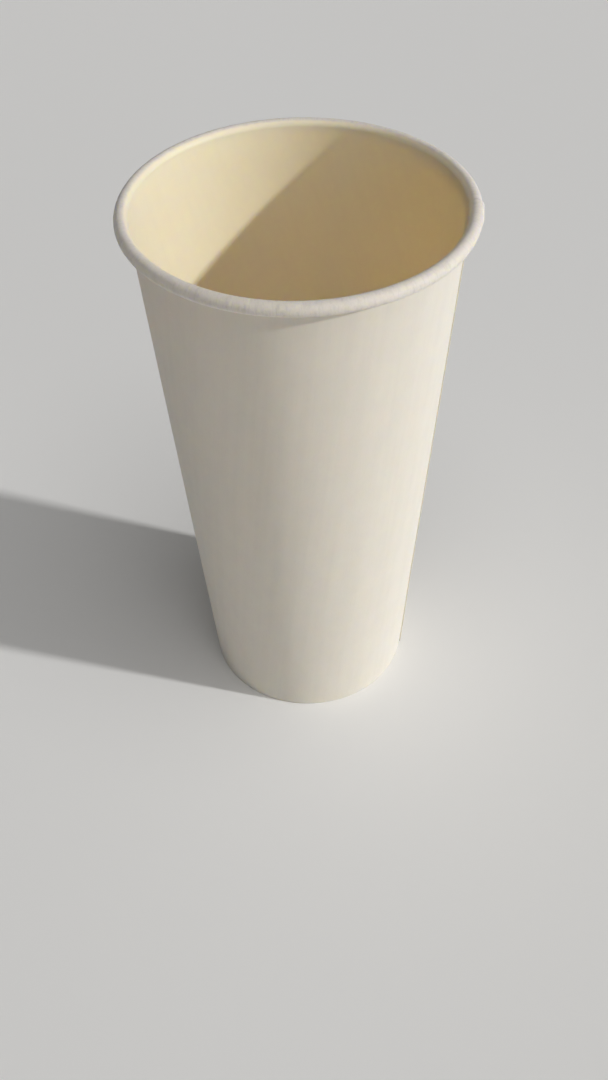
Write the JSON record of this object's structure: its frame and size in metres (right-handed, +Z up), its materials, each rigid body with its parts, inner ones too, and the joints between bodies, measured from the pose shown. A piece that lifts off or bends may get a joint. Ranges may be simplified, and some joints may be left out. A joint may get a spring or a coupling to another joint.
{
  "type": "paper coffee cup",
  "caption": "Tall plain single-wall paper cup with a rolled rim, a lapped side seam and a recessed bottom, for hot or cold drinks.",
  "frame": {"origin": "centre of the heel ring, on the plane that the cup stands on", "axes": "+Z up the cup's axis, from the heel to the rim; the side seam runs down the +X side"},
  "size_m": [0.09, 0.09, 0.163],
  "materials": {
    "sidewall_board": "uncoated ivory paperboard outside, smooth film-coated inside",
    "bottom_board": "film-coated paperboard on its upper face, uncoated below"
  },
  "bodies": {
    "root": {"sidewall": "sidewall_board", "bottom_disc": "bottom_board"}
  },
  "joints": []
}
